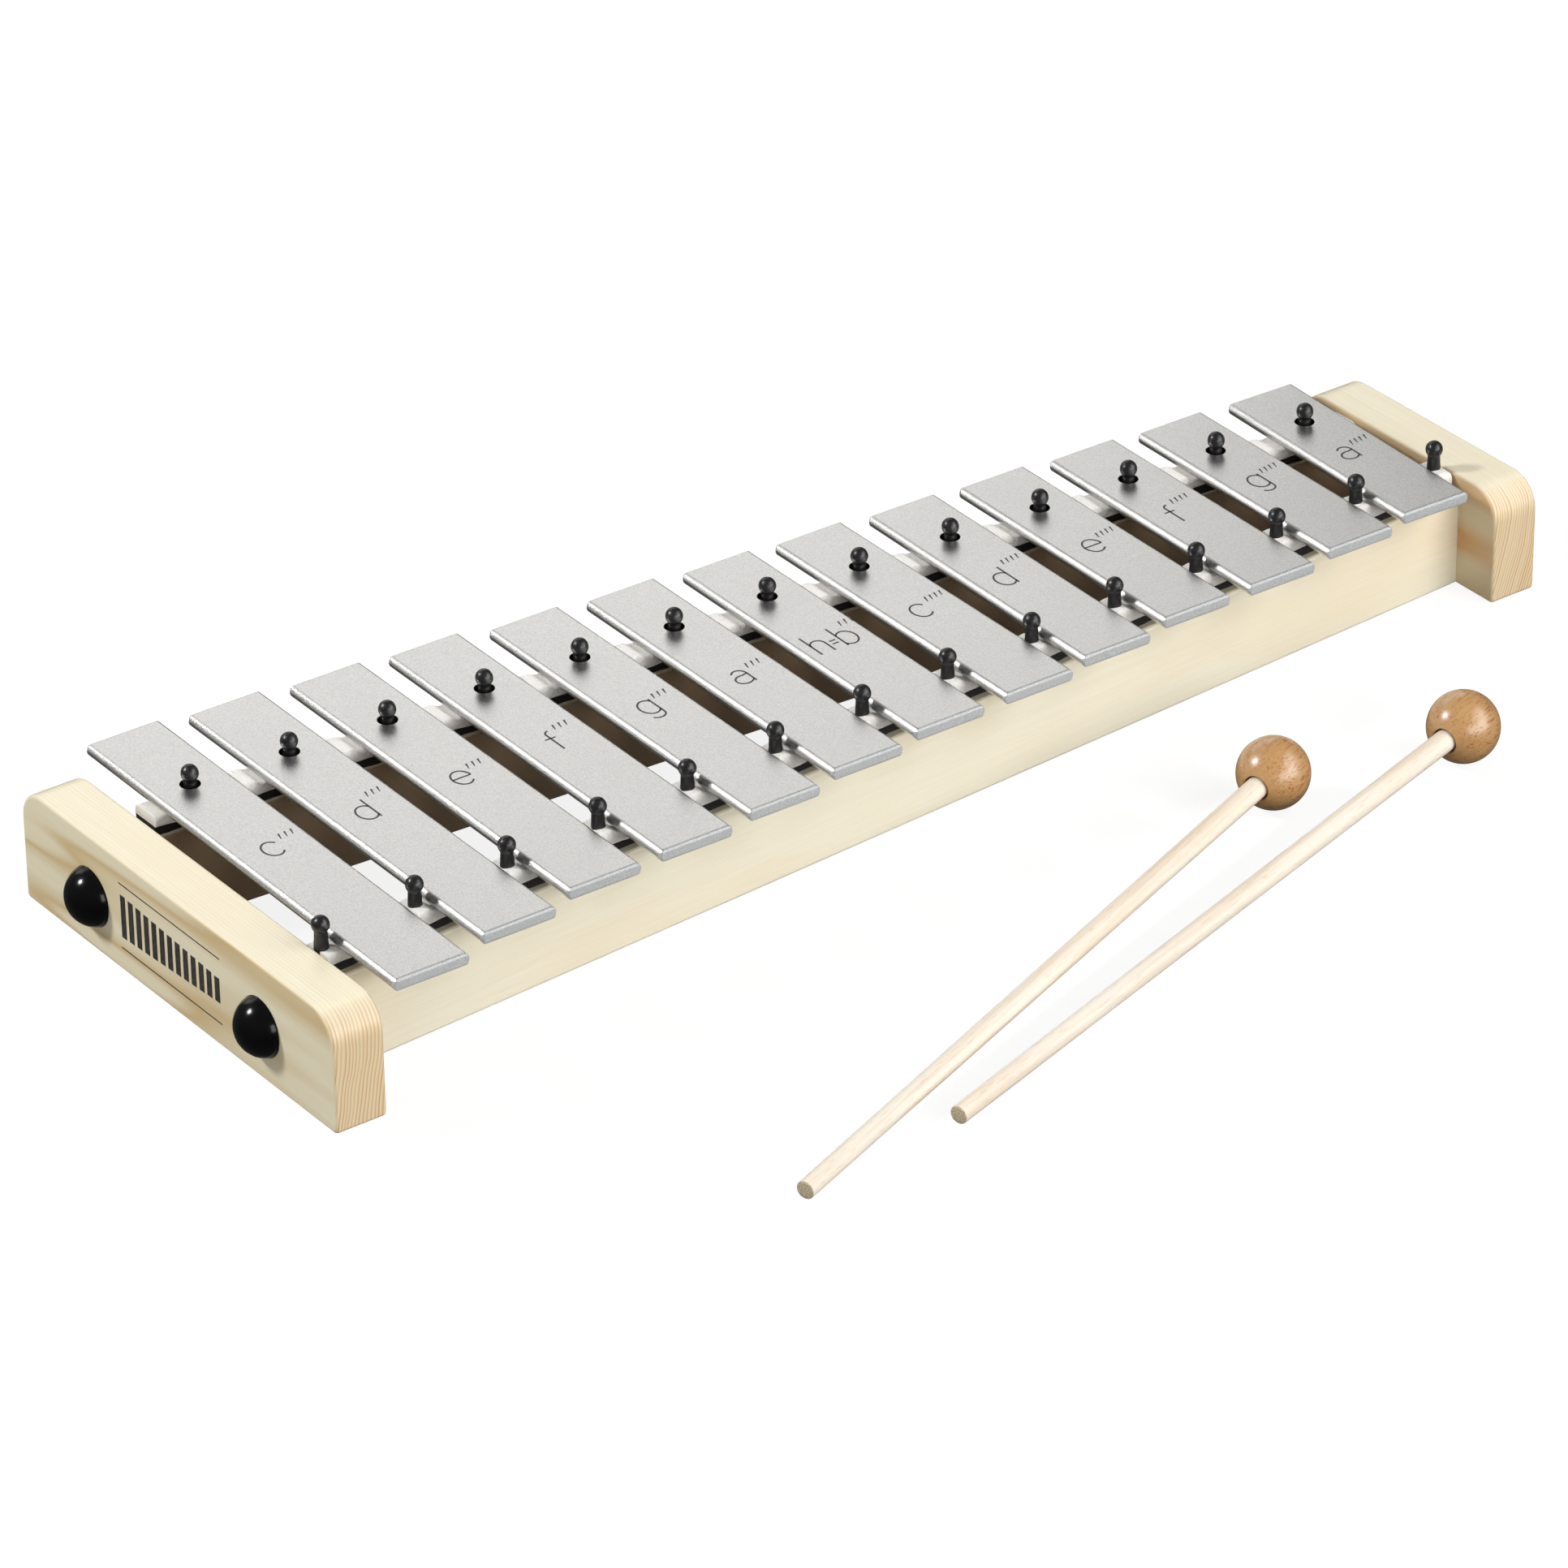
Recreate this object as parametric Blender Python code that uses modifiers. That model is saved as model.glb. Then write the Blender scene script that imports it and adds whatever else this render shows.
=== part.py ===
"""Diatonic soprano glockenspiel: thirteen steel bars on a tapered pine frame, with two mallets.

Frame: X runs along the instrument, low notes at -X; the player sits at -Y; +Z is up and the
floor is z = 0. The origin is under the middle of the whole set's footprint.
"""

import math

import bmesh
import bpy
import numpy as np
from mathutils import Matrix, Vector

MM = 0.001
GAP = 0.3 * MM                      # clearance kept between pieces that touch
OVERCUT = 1.0 * MM                  # how far a drill runs past a face

# --- tuning: note names and their frequencies in Hz, low to high -----------------------------
NOTES = ("c3", "d3", "e3", "f3", "g3", "a3", "b3", "c4", "d4", "e4", "f4", "g4", "a4")
SCALE_STEPS = (0, 2, 4, 5, 7, 9, 11)            # semitones of a major scale
LOWEST_NOTE_HZ = 1046.5

# --- bars ------------------------------------------------------------------------------------
BAR_PITCH = 25.0 * MM
BAR_WIDTH = 19.6 * MM
BAR_THICKNESS = 3.0 * MM
LONGEST_BAR = 123.4 * MM
BAR_CORNER = 1.0 * MM
BAR_EDGE = 0.4 * MM
BAR_HOLE_RADIUS = 2.4 * MM
BAR_HOLE_SIDES = 14
# how far each loose bar has swung clockwise about its rear pin, in degrees
BAR_SWING = (0.7, 0.5, 0.6, 0.7, 0.5, 0.6, 0.7, 0.3, 1.1, 0.8, 0.9, 0.8, 2.2)
BAR_RIGHTWARD = 0.2 * MM            # and slid sideways in its hole
# how far behind the centreline each loose bar's middle lies, in millimetres
BAR_REARWARD = (1.3, 2.1, 2.6, 1.8, 1.1, 1.4, 1.4, 0.8, 0.9, 1.4, 0.3, 0.5, 0.8)
LAST_REAR_PIN_NUDGE = 0.7 * MM      # the last rear pin stands this far past its place
PIN_PATTERN_SHIFT = -0.5 * MM       # the pins stand this much nearer the low end

# --- rails -----------------------------------------------------------------------------------
PIN_LINE_HALF_GAP = 25.8 * MM       # distance of each pin line from the centreline at X = 0
TAPER = 0.0596                      # each pin line closes by this much per unit of length
RAIL_OUTSIDE = 6.2 * MM             # rail face to pin line, on the side away from the middle
RAIL_INSIDE = 4.8 * MM
RAIL_HEIGHT = 23.8 * MM
RAIL_EDGE = 0.7 * MM

# --- end blocks ------------------------------------------------------------------------------
INNER_HALF_LENGTH = 164.8 * MM      # centre to the inner face of each end block
BLOCK_THICKNESS = 13.0 * MM
BLOCK_HEIGHT = 28.7 * MM
LOW_BLOCK_WIDTH = 122.9 * MM
HIGH_BLOCK_WIDTH = 70.1 * MM
BLOCK_CORNER = 8.0 * MM
BLOCK_EDGE = 1.2 * MM

# --- strips that carry the bars ----------------------------------------------------------------
STRIP_WIDTH = 8.4 * MM
BACKING_THICKNESS = 1.8 * MM
FELT_THICKNESS = 1.9 * MM
FRONT_STRIP_END_GAP = 0.6 * MM      # strip end to end block
REAR_STRIP_END_GAP = 2.9 * MM
STRIP_HOLE_RADIUS = 1.8 * MM
FELT_EDGE = 0.8 * MM

# --- pins ------------------------------------------------------------------------------------
BALL_RADIUS = 1.93 * MM
BALL_CENTRE = 10.45 * MM            # above the rail's top
NECK_RADIUS = 1.25 * MM
PIN_BODY_RADIUS = 1.38 * MM
NECK_DROP = 3.0 * MM                # from the ball's centre down to the body's full radius
SHANK_RADIUS = 0.9 * MM
SHANK_DEPTH = 7.5 * MM              # into the rail
SHANK_POINT = 1.0 * MM
SHANK_BORE_RADIUS = 1.2 * MM
PIN_SIDES = 8

# --- screws and their caps ---------------------------------------------------------------------
SCREW_HEIGHT = 13.3 * MM
SCREW_INSET = 2.0 * MM              # screw axis to pin line, towards the middle
SCREW_SHANK_RADIUS = 1.5 * MM
SCREW_HEAD_RADIUS = 3.4 * MM
SCREW_HEAD_HEIGHT = 2.1 * MM
SCREW_LENGTH = 34.0 * MM
SCREW_POINT = 3.0 * MM
SCREW_SIDES = 8
CAP_RADIUS = 7.15 * MM
CAP_HEIGHT = 5.6 * MM
CAP_CAVITY_RADIUS = 4.2 * MM
CAP_CAVITY_DEPTH = 2.8 * MM
CAP_SIDES = 16

# --- mallets: head centre in plan from the instrument's middle, and the stick's heading ---------
HEAD_RADIUS = 8.5 * MM
STICK_REACH = 191.0 * MM            # tail to head centre
STICK_TAIL_RADIUS = 2.13 * MM
STICK_HEAD_RADIUS = 2.6 * MM
STICK_PAST_CENTRE = 3.0 * MM
MALLETS = (("mallet_1", (65.2 * MM, -75.5 * MM), 20.0), ("mallet_2", (112.4 * MM, -85.6 * MM), 15.7))

FELT_BOTTOM = RAIL_HEIGHT + GAP + BACKING_THICKNESS + GAP
BAR_BOTTOM = FELT_BOTTOM + FELT_THICKNESS + GAP


# ------------------------------------------------------------------------------------------------
# scene, collections and materials
# ------------------------------------------------------------------------------------------------
def clear_scene():
    for obj in list(bpy.data.objects):
        bpy.data.objects.remove(obj, do_unlink=True)


def new_collection(name):
    collection = bpy.data.collections.new(name)
    bpy.context.scene.collection.children.link(collection)
    return collection


clear_scene()
PARTS = new_collection("glockenspiel")
CUTTERS = new_collection("cutters")
SET_ORIGIN = bpy.data.objects.new("set_origin", None)
PARTS.objects.link(SET_ORIGIN)


def principled(name, colour, roughness, metallic=0.0):
    material = bpy.data.materials.new(name)
    material.use_nodes = True
    shader = material.node_tree.nodes["Principled BSDF"]
    shader.inputs["Base Color"].default_value = (*colour, 1.0)
    shader.inputs["Roughness"].default_value = roughness
    shader.inputs["Metallic"].default_value = metallic
    return material


PINE_BLOCK = principled("pine_block", (0.84, 0.74, 0.53), 0.5)
PINE_RAIL = principled("pine_rail", (0.80, 0.70, 0.50), 0.5)
SILVER_PAINT = principled("bar_silver", (0.60, 0.61, 0.62), 0.4, 0.3)
PIN_RUBBER = principled("pin_rubber", (0.02, 0.02, 0.02), 0.45)
FELT = principled("felt", (0.80, 0.77, 0.70), 0.95)
BACKING = principled("backing", (0.015, 0.015, 0.015), 0.8)
CAP_GLOSS = principled("cap_gloss", (0.01, 0.01, 0.01), 0.08)
SCREW_STEEL = principled("screw_steel", (0.6, 0.6, 0.58), 0.35, 1.0)
BEECH_HEAD = principled("beech_head", (0.60, 0.36, 0.18), 0.3)
BEECH_STICK = principled("beech_stick", (0.82, 0.70, 0.54), 0.5)


# ------------------------------------------------------------------------------------------------
# small building tools
# ------------------------------------------------------------------------------------------------
def object_from(bm, name, collection):
    mesh = bpy.data.meshes.new(name)
    bm.to_mesh(mesh)
    bm.free()
    obj = bpy.data.objects.new(name, mesh)
    collection.objects.link(obj)
    return obj


def add_part(bm, name, material, location=(0, 0, 0), rotation=(0, 0, 0)):
    obj = object_from(bm, name, PARTS)
    obj.data.materials.append(material)
    return place(obj, location, rotation)


def place(obj, location, rotation=(0, 0, 0)):
    obj.parent = SET_ORIGIN
    obj.location = location
    obj.rotation_euler = rotation
    return obj


def box(size, centre=(0, 0, 0)):
    """A cuboid of the given size."""
    bm = bmesh.new()
    bmesh.ops.create_cube(bm, size=1.0)
    bmesh.ops.scale(bm, vec=size, verts=bm.verts)
    bmesh.ops.translate(bm, vec=centre, verts=bm.verts)
    return bm


def shear_y_along_x(bm, amount):
    shear = Matrix.Identity(4)
    shear[1][0] = amount
    bmesh.ops.transform(bm, matrix=shear, verts=bm.verts)


def round_edges(bm, wanted, radius, segments):
    """Rounds the edges for which wanted(middle, direction) is true."""
    chosen = []
    for edge in bm.edges:
        a, b = (v.co for v in edge.verts)
        if wanted((a + b) / 2, (b - a).normalized()):
            chosen.append(edge)
    bmesh.ops.bevel(bm, geom=chosen, offset=radius, segments=segments, profile=0.5, affect="EDGES")


def soften(obj, width, segments, angle=40.0):
    bevel = obj.modifiers.new("soft_edges", "BEVEL")
    bevel.width = width
    bevel.segments = segments
    bevel.limit_method = "ANGLE"
    bevel.angle_limit = math.radians(angle)


def cylinders_cutter(name, axes, radius, sides):
    """One cutter made of a cylinder for each (start, end) pair of points."""
    bm = bmesh.new()
    for start, end in axes:
        start, end = Vector(start), Vector(end)
        along = end - start
        turn = along.to_track_quat("Z", "Y").to_matrix().to_4x4()
        middle = Matrix.Translation((start + end) / 2)
        bmesh.ops.create_cone(bm, cap_ends=True, segments=sides, radius1=radius, radius2=radius,
                              depth=along.length, matrix=middle @ turn)
    cutter = object_from(bm, name, CUTTERS)
    cutter.display_type = "WIRE"
    cutter.hide_render = True
    return cutter


def drill(obj, axes, radius, sides, label="holes"):
    """Bores the holes given in the piece's own coordinates."""
    cutter = cylinders_cutter(f"{obj.name}_{label}", axes, radius, sides)
    cutter.parent = obj
    cut = obj.modifiers.new(label, "BOOLEAN")
    cut.operation = "DIFFERENCE"
    cut.solver = "EXACT"
    cut.object = cutter


def turned(profile):
    """An open outline in the XZ plane, to be spun by a Screw modifier."""
    bm = bmesh.new()
    points = [bm.verts.new((radius, 0.0, height)) for radius, height in profile]
    for a, b in zip(points, points[1:]):
        bm.edges.new((a, b))
    return bm


def spin(obj, sides):
    screw = obj.modifiers.new("turned", "SCREW")
    screw.steps = sides
    screw.render_steps = sides
    screw.use_merge_vertices = True
    screw.merge_threshold = 0.00001
    screw.use_smooth_shade = True


def arc(centre, radius, start, end, count):
    """Points (radius, height) on an arc; angles in degrees from +X towards +Z."""
    angles = np.radians(np.linspace(start, end, count))
    return [(max(centre[0] + radius * math.cos(a), 0.0), centre[1] + radius * math.sin(a)) for a in angles]


# ------------------------------------------------------------------------------------------------
# layout
# ------------------------------------------------------------------------------------------------
def frequency(index):
    octave, step = divmod(index, len(SCALE_STEPS))
    return LOWEST_NOTE_HZ * 2 ** ((12 * octave + SCALE_STEPS[step]) / 12)


def bar_length(index):
    """A free bar's pitch goes with 1 / length squared, so length goes with 1 / sqrt(pitch)."""
    return LONGEST_BAR * math.sqrt(LOWEST_NOTE_HZ / frequency(index))


def front_line(x):
    return -PIN_LINE_HALF_GAP + TAPER * x


def rear_line(x):
    return -front_line(x)


def front_pin_x(index):
    return (index - len(NOTES) / 2) * BAR_PITCH + PIN_PATTERN_SHIFT


def rear_pin_x(index):
    nudge = LAST_REAR_PIN_NUDGE if index == len(NOTES) - 1 else 0.0
    return (index - (len(NOTES) - 1) / 2) * BAR_PITCH + PIN_PATTERN_SHIFT + nudge


FRONT_PINS = [(front_pin_x(i), front_line(front_pin_x(i))) for i in range(len(NOTES) + 1)]
REAR_PINS = [(rear_pin_x(i), rear_line(rear_pin_x(i))) for i in range(len(NOTES))]


# ------------------------------------------------------------------------------------------------
# the pieces
# ------------------------------------------------------------------------------------------------
def make_rail(name, side, pins):
    """A rail; side is -1 for the front and +1 for the rear."""
    inside, outside = PIN_LINE_HALF_GAP - RAIL_INSIDE, PIN_LINE_HALF_GAP + RAIL_OUTSIDE
    length = 2 * (INNER_HALF_LENGTH - GAP)
    bm = box((length, outside - inside, RAIL_HEIGHT), (0, side * (inside + outside) / 2, RAIL_HEIGHT / 2))
    shear_y_along_x(bm, -side * TAPER)
    rail = add_part(bm, name, PINE_RAIL)
    soften(rail, RAIL_EDGE, 1)
    bores = [((x, y, RAIL_HEIGHT - SHANK_DEPTH - 2 * GAP), (x, y, RAIL_HEIGHT + OVERCUT)) for x, y in pins]
    drill(rail, bores, SHANK_BORE_RADIUS, PIN_SIDES, "pin_holes")
    screw_bores = []
    for end in (-1, 1):
        y = side * screw_offset(end)
        deep = end * (INNER_HALF_LENGTH + BLOCK_THICKNESS - SCREW_LENGTH - 2 * GAP)
        screw_bores.append(((deep, y, SCREW_HEIGHT), (end * INNER_HALF_LENGTH, y, SCREW_HEIGHT)))
    drill(rail, screw_bores, SCREW_SHANK_RADIUS + GAP, SCREW_SIDES, "screw_holes")
    return rail


def screw_offset(end):
    """Distance of the screws from the centreline at one end: end is -1 or +1."""
    return rear_line(end * INNER_HALF_LENGTH) - SCREW_INSET


def make_end_block(name, end, width):
    """An end block with its two upper corners rounded; end is -1 for the low notes' end."""
    centre_x = end * (INNER_HALF_LENGTH + BLOCK_THICKNESS / 2)
    bm = box((BLOCK_THICKNESS, width, BLOCK_HEIGHT), (0, 0, BLOCK_HEIGHT / 2))
    round_edges(bm, lambda m, d: abs(d.x) > 0.9 and m.z > BLOCK_HEIGHT / 2, BLOCK_CORNER, 6)
    block = add_part(bm, name, PINE_BLOCK, (centre_x, 0, 0))
    soften(block, BLOCK_EDGE, 2)
    reach = BLOCK_THICKNESS
    y = screw_offset(end)
    axes = [((-reach, side * y, SCREW_HEIGHT), (reach, side * y, SCREW_HEIGHT)) for side in (-1, 1)]
    drill(block, axes, SCREW_SHANK_RADIUS + GAP, SCREW_SIDES)
    return block


def make_strip(name, side, pins, bottom, thickness, edge, material):
    """A strip along a rail's top, pierced by the pins; the front ones reach past their end pins."""
    end_gap = FRONT_STRIP_END_GAP if side < 0 else REAR_STRIP_END_GAP
    length = 2 * (INNER_HALF_LENGTH - end_gap)
    bm = box((length, STRIP_WIDTH, thickness), (0, side * PIN_LINE_HALF_GAP, bottom + thickness / 2))
    shear_y_along_x(bm, -side * TAPER)
    if edge:
        round_edges(bm, lambda m, d: m.z > bottom + thickness * 0.9, edge, 1)
    strip = add_part(bm, name, material)
    axes = [((x, y, bottom - OVERCUT), (x, y, bottom + thickness + OVERCUT)) for x, y in pins]
    drill(strip, axes, STRIP_HOLE_RADIUS, PIN_SIDES)
    return strip


def pin_profile():
    """From the ball's top down the outside to the shank's tip; height 0 is the rail's top."""
    neck_angle = -math.degrees(math.acos(NECK_RADIUS / BALL_RADIUS))
    ball = arc((0, BALL_CENTRE), BALL_RADIUS, 90, neck_angle, 6)
    ball[0] = (0.0, BALL_CENTRE + BALL_RADIUS)
    return ball + [
        (PIN_BODY_RADIUS, BALL_CENTRE - NECK_DROP),
        (PIN_BODY_RADIUS, GAP),
        (SHANK_RADIUS, GAP),
        (SHANK_RADIUS, SHANK_POINT - SHANK_DEPTH),
        (0.0, -SHANK_DEPTH),
    ]


def make_pins():
    for row, places in (("front", FRONT_PINS), ("rear", REAR_PINS)):
        for number, (x, y) in enumerate(places, start=1):
            place_of_pin = (x, y, RAIL_HEIGHT)
            pin = add_part(turned(pin_profile()), f"{row}_pin_{number:02d}", PIN_RUBBER, place_of_pin)
            spin(pin, PIN_SIDES)


def make_bar(index):
    """A bar lies on both felts and hangs from its rear pin, about which it has swung a little."""
    length = bar_length(index)
    pin_x, pin_y = REAR_PINS[index]
    swing = math.radians(BAR_SWING[index])
    reach = pin_y - BAR_REARWARD[index] * MM
    centre = (pin_x + BAR_RIGHTWARD - reach * math.sin(swing), pin_y - reach * math.cos(swing), BAR_BOTTOM)
    bm = box((BAR_WIDTH, length, BAR_THICKNESS), (0, 0, BAR_THICKNESS / 2))
    round_edges(bm, lambda m, d: abs(d.z) > 0.9, BAR_CORNER, 2)
    bar = add_part(bm, "bar_" + NOTES[index], SILVER_PAINT, centre, (0, 0, -swing))
    soften(bar, BAR_EDGE, 1, 60.0)
    drill(bar, [((0, reach, -OVERCUT), (0, reach, BAR_THICKNESS + OVERCUT))], BAR_HOLE_RADIUS, BAR_HOLE_SIDES)
    return bar


def screw_profile():
    """A pan head, its shank and a short point; height 0 is the underside of the head."""
    top = SCREW_HEAD_HEIGHT
    return [
        (0.0, top), (SCREW_HEAD_RADIUS * 0.72, top), (SCREW_HEAD_RADIUS, top * 0.45),
        (SCREW_HEAD_RADIUS, 0.0), (SCREW_SHANK_RADIUS, 0.0),
        (SCREW_SHANK_RADIUS, SCREW_POINT - SCREW_LENGTH), (0.0, -SCREW_LENGTH),
    ]


def cap_profile():
    """A domed cap, hollow below for the screw's head; height 0 is its seat."""
    sphere = (CAP_RADIUS ** 2 + CAP_HEIGHT ** 2) / (2 * CAP_HEIGHT)
    rim = math.degrees(math.asin((sphere - CAP_HEIGHT) / sphere))
    dome = arc((0, CAP_HEIGHT - sphere), sphere, 90, rim, 6)
    dome[0] = (0.0, CAP_HEIGHT)
    dome[-1] = (CAP_RADIUS, 0.0)
    return dome + [(CAP_CAVITY_RADIUS, 0.0), (CAP_CAVITY_RADIUS, CAP_CAVITY_DEPTH), (0.0, CAP_CAVITY_DEPTH)]


def make_fasteners():
    """Two screws join each end block to the rails, each under a cap on the block's outer face."""
    face = INNER_HALF_LENGTH + BLOCK_THICKNESS + GAP
    for end, end_name in ((-1, "low"), (1, "high")):
        for side, side_name in ((-1, "front"), (1, "rear")):
            seat = (end * face, side * screw_offset(end), SCREW_HEIGHT)
            outward = (0, end * math.pi / 2, 0)
            label = f"{end_name}_{side_name}"
            screw = add_part(turned(screw_profile()), label + "_screw", SCREW_STEEL, seat, outward)
            spin(screw, SCREW_SIDES)
            cap = add_part(turned(cap_profile()), label + "_screw_cap", CAP_GLOSS, seat, outward)
            spin(cap, CAP_SIDES)


def make_mallet(name, head_place, heading):
    """A beech ball on a tapered stick, lying with the ball and the stick's tail on the floor."""
    dip = math.asin((HEAD_RADIUS - STICK_TAIL_RADIUS) / STICK_REACH)
    rotation = (0, -dip, math.radians(heading))
    location = (*head_place, HEAD_RADIUS)
    along_x = Matrix.Rotation(math.pi / 2, 4, "Y")

    bm = bmesh.new()
    bmesh.ops.create_uvsphere(bm, u_segments=18, v_segments=10, radius=HEAD_RADIUS, matrix=along_x)
    head = add_part(bm, name + "_head", BEECH_HEAD, location, rotation)
    head.data.shade_smooth()
    bore = [((-1.2 * HEAD_RADIUS, 0, 0), (STICK_PAST_CENTRE + GAP, 0, 0))]
    drill(head, bore, STICK_HEAD_RADIUS + GAP, 16)

    bm = bmesh.new()
    length = STICK_REACH + STICK_PAST_CENTRE
    middle = Matrix.Translation(((STICK_PAST_CENTRE - STICK_REACH) / 2, 0, 0))
    bmesh.ops.create_cone(bm, cap_ends=True, segments=14, radius1=STICK_TAIL_RADIUS,
                          radius2=STICK_HEAD_RADIUS, depth=length, matrix=middle @ along_x)
    stick = add_part(bm, name + "_stick", BEECH_STICK, location, rotation)
    stick.data.shade_smooth()
    stick.data.set_sharp_from_angle(angle=math.radians(40))
    soften(stick, 0.4 * MM, 1)


def centre_the_set():
    """Moves the whole set so that the origin lies under the middle of its footprint."""
    bpy.context.view_layer.update()
    depsgraph = bpy.context.evaluated_depsgraph_get()
    low, high = np.full(3, np.inf), np.full(3, -np.inf)
    for obj in PARTS.objects:
        if obj.type != "MESH":
            continue
        evaluated = obj.evaluated_get(depsgraph)
        for vertex in evaluated.data.vertices:
            point = np.array(evaluated.matrix_world @ vertex.co)
            low, high = np.minimum(low, point), np.maximum(high, point)
    middle = (low + high) / 2
    SET_ORIGIN.location = (-middle[0], -middle[1], -low[2])


def build():
    make_rail("front_rail", -1, FRONT_PINS)
    make_rail("rear_rail", 1, REAR_PINS)
    make_end_block("low_end_block", -1, LOW_BLOCK_WIDTH)
    make_end_block("high_end_block", 1, HIGH_BLOCK_WIDTH)
    for name, side, pins in (("front", -1, FRONT_PINS), ("rear", 1, REAR_PINS)):
        make_strip(name + "_backing_strip", side, pins, RAIL_HEIGHT + GAP, BACKING_THICKNESS, 0.0, BACKING)
        make_strip(name + "_felt_strip", side, pins, FELT_BOTTOM, FELT_THICKNESS, FELT_EDGE, FELT)
    make_pins()
    for index in range(len(NOTES)):
        make_bar(index)
    make_fasteners()
    for name, head_place, heading in MALLETS:
        make_mallet(name, head_place, heading)
    centre_the_set()


build()
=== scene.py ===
"""Looks of a diatonic glockenspiel and its two mallets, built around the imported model.

Everything is in metres in the model's own frame: X runs along the instrument from low notes to
high, the player sits at -Y, Z is up and the floor is z = 0.
"""

import math

import bmesh
import bpy
import numpy as np
from mathutils import Matrix, Vector, noise


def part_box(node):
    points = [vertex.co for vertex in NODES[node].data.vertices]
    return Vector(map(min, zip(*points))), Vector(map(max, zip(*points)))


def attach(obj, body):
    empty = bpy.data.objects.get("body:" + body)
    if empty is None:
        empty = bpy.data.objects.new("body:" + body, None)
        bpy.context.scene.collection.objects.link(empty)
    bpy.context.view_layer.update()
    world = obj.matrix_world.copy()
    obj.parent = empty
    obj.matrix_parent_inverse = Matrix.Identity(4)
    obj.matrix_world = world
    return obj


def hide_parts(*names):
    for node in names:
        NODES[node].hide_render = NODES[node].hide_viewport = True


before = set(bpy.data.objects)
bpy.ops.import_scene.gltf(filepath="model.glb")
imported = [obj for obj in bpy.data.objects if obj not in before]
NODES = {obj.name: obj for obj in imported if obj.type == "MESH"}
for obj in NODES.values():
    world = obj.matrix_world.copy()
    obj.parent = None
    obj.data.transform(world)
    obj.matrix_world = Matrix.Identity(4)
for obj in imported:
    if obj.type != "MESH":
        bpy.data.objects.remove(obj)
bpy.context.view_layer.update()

MM = 0.001
NOTES = ("c3", "d3", "e3", "f3", "g3", "a3", "b3", "c4", "d4", "e4", "f4", "g4", "a4")


# ------------------------------------------------------------------------------------------------
# reading the frame
# ------------------------------------------------------------------------------------------------
def vertices(node):
    """All of a CAD node's points, one per row."""
    return np.array([v.co for v in NODES[node].data.vertices], float)


def centre(node):
    low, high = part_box(node)
    return (low + high) / 2


def size(node):
    low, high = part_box(node)
    return high - low


def lie_of(node):
    """A bar's middle at its underside, its width and length, and how far it has swung."""
    points = vertices(node)
    swings = np.radians(np.linspace(-4.0, 4.0, 801))
    across = [np.ptp(points[:, 0] * math.cos(a) - points[:, 1] * math.sin(a)) for a in swings]
    swing = float(swings[int(np.argmin(across))])
    u = points[:, 0] * math.cos(swing) - points[:, 1] * math.sin(swing)
    v = points[:, 0] * math.sin(swing) + points[:, 1] * math.cos(swing)
    mid_u, mid_v = (u.min() + u.max()) / 2, (v.min() + v.max()) / 2
    x = mid_u * math.cos(swing) + mid_v * math.sin(swing)
    y = mid_v * math.cos(swing) - mid_u * math.sin(swing)
    return Vector((x, y, points[:, 2].min())), float(np.ptp(u)), float(np.ptp(v)), swing


def pin_line(row, last):
    """The straight line y(x) through a row's pins."""
    a, b = centre(f"{row}_pin_01"), centre(f"{row}_pin_{last:02d}")
    slope = (b.y - a.y) / (b.x - a.x)
    return lambda x: a.y + slope * (x - a.x)


FRONT_LINE = pin_line("front", 14)
REAR_LINE = pin_line("rear", 12)


# ------------------------------------------------------------------------------------------------
# mesh tools
# ------------------------------------------------------------------------------------------------
def piece(bm, name, material, body, slot, *replaced, matrix=None, smooth=True):
    """Turns a bmesh into a piece that rides on a body and stands for the CAD nodes named."""
    bmesh.ops.recalc_face_normals(bm, faces=bm.faces)
    mesh = bpy.data.meshes.new(name)
    bm.to_mesh(mesh)
    bm.free()
    return mesh_piece(mesh, name, material, body, slot, *replaced, matrix=matrix, smooth=smooth)


def mesh_piece(mesh, name, material, body, slot, *replaced, matrix=None, smooth=True):
    if smooth:
        mesh.shade_smooth()
        mesh.set_sharp_from_angle(angle=math.radians(50))
    if not mesh.materials:
        mesh.materials.append(material)
    obj = bpy.data.objects.new(name, mesh)
    bpy.context.scene.collection.objects.link(obj)
    if matrix is not None:
        obj.matrix_world = matrix
    if smooth:
        weighted = obj.modifiers.new("weighted", "WEIGHTED_NORMAL")
        weighted.keep_sharp = True
    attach(obj, body)
    if replaced:
        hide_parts(*replaced)
    return obj


def ring_faces(bm, a, b):
    """Quads between two closed rings with the same number of points."""
    for i in range(len(a)):
        j = (i + 1) % len(a)
        bm.faces.new((a[i], a[j], b[j], b[i]))


def rounded_rectangle(half_x, half_y, radius, corner_points, upper_radius=None):
    """Points of a rectangle with round corners; the +y corners can have their own radius."""
    upper = radius if upper_radius is None else upper_radius
    points = []
    for sx, sy, start in ((1, 1, 0), (-1, 1, 90), (-1, -1, 180), (1, -1, 270)):
        r = upper if sy > 0 else radius
        for k in range(corner_points):
            a = math.radians(start + 90 * k / (corner_points - 1))
            points.append((sx * (half_x - r) + r * math.cos(a), sy * (half_y - r) + r * math.sin(a)))
    return points


def roll(radius, steps):
    """(depth, inset) pairs from a flat face down round an edge of the given radius."""
    angles = np.linspace(0, math.pi / 2, steps)
    return [(radius * (1 - math.cos(a)), radius * (1 - math.sin(a))) for a in angles]


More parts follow.
